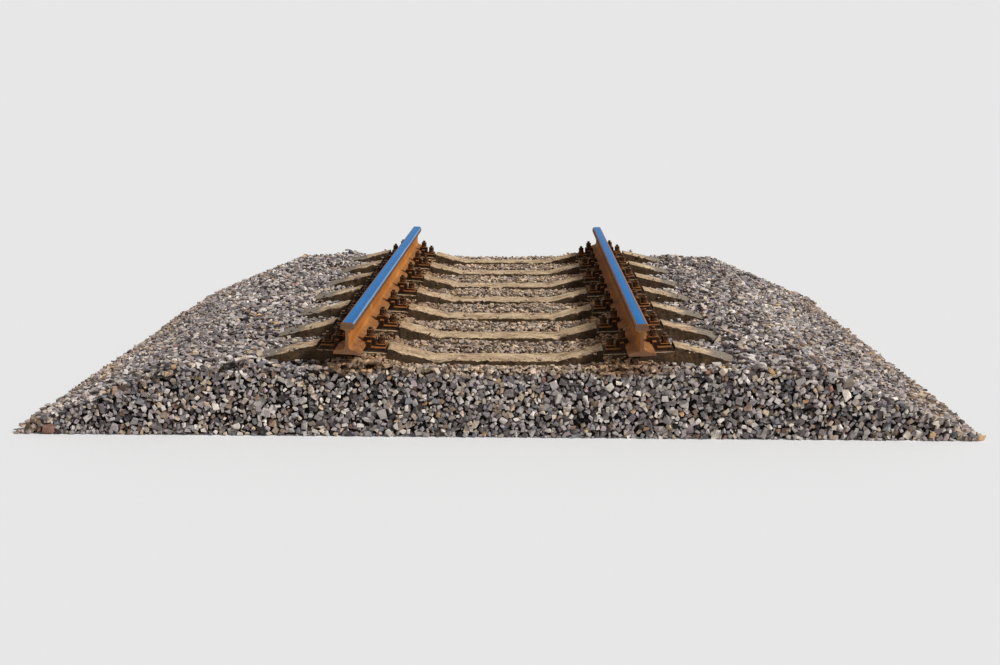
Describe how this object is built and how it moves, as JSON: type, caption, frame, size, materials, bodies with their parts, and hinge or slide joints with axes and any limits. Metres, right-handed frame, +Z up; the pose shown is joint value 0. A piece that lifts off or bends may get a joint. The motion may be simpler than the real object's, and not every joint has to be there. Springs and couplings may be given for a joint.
{
  "type": "railway track section",
  "caption": "Straight length of single railway track: rails on concrete sleepers in a crushed-stone bed, held by bolted clips on ribbed baseplates; copies butt end to end.",
  "frame": {"origin": "centre of the underside of the stone bed, midway between the rails and between the two ends", "axes": "+X across the track, to the right when looking along it; +Y along the track; +Z up"},
  "size_m": [5.45, 3.808, 0.6541],
  "materials": {
    "ballast": "loose crushed stone",
    "concrete": "weathered cast concrete",
    "rail_steel": "rusted, with a bright running band",
    "plate_iron": "dark rust",
    "clip_steel": "dark rust",
    "bolt_steel": "dark rust",
    "pad_rubber": "matt"
  },
  "bodies": {
    "root": {"ballast_bed": "ballast", "left_anchor_bolts": "bolt_steel", "left_anchor_nuts": "bolt_steel", "left_anchor_saddles": "clip_steel", "left_anchor_washers": "bolt_steel", "left_baseplates": "plate_iron", "left_clip_bolts": "bolt_steel", "left_clip_nuts": "bolt_steel", "left_clip_washers": "bolt_steel", "left_clips": "clip_steel", "left_plate_pads": "pad_rubber", "left_rail": "rail_steel", "left_rail_pads": "pad_rubber", "right_anchor_bolts": "bolt_steel", "right_anchor_nuts": "bolt_steel", "right_anchor_saddles": "clip_steel", "right_anchor_washers": "bolt_steel", "right_baseplates": "plate_iron", "right_clip_bolts": "bolt_steel", "right_clip_nuts": "bolt_steel", "right_clip_washers": "bolt_steel", "right_clips": "clip_steel", "right_plate_pads": "pad_rubber", "right_rail": "rail_steel", "right_rail_pads": "pad_rubber", "sleeper_1": "concrete", "sleeper_2": "concrete", "sleeper_3": "concrete", "sleeper_4": "concrete", "sleeper_5": "concrete", "sleeper_6": "concrete", "sleeper_7": "concrete"}
  },
  "joints": []
}
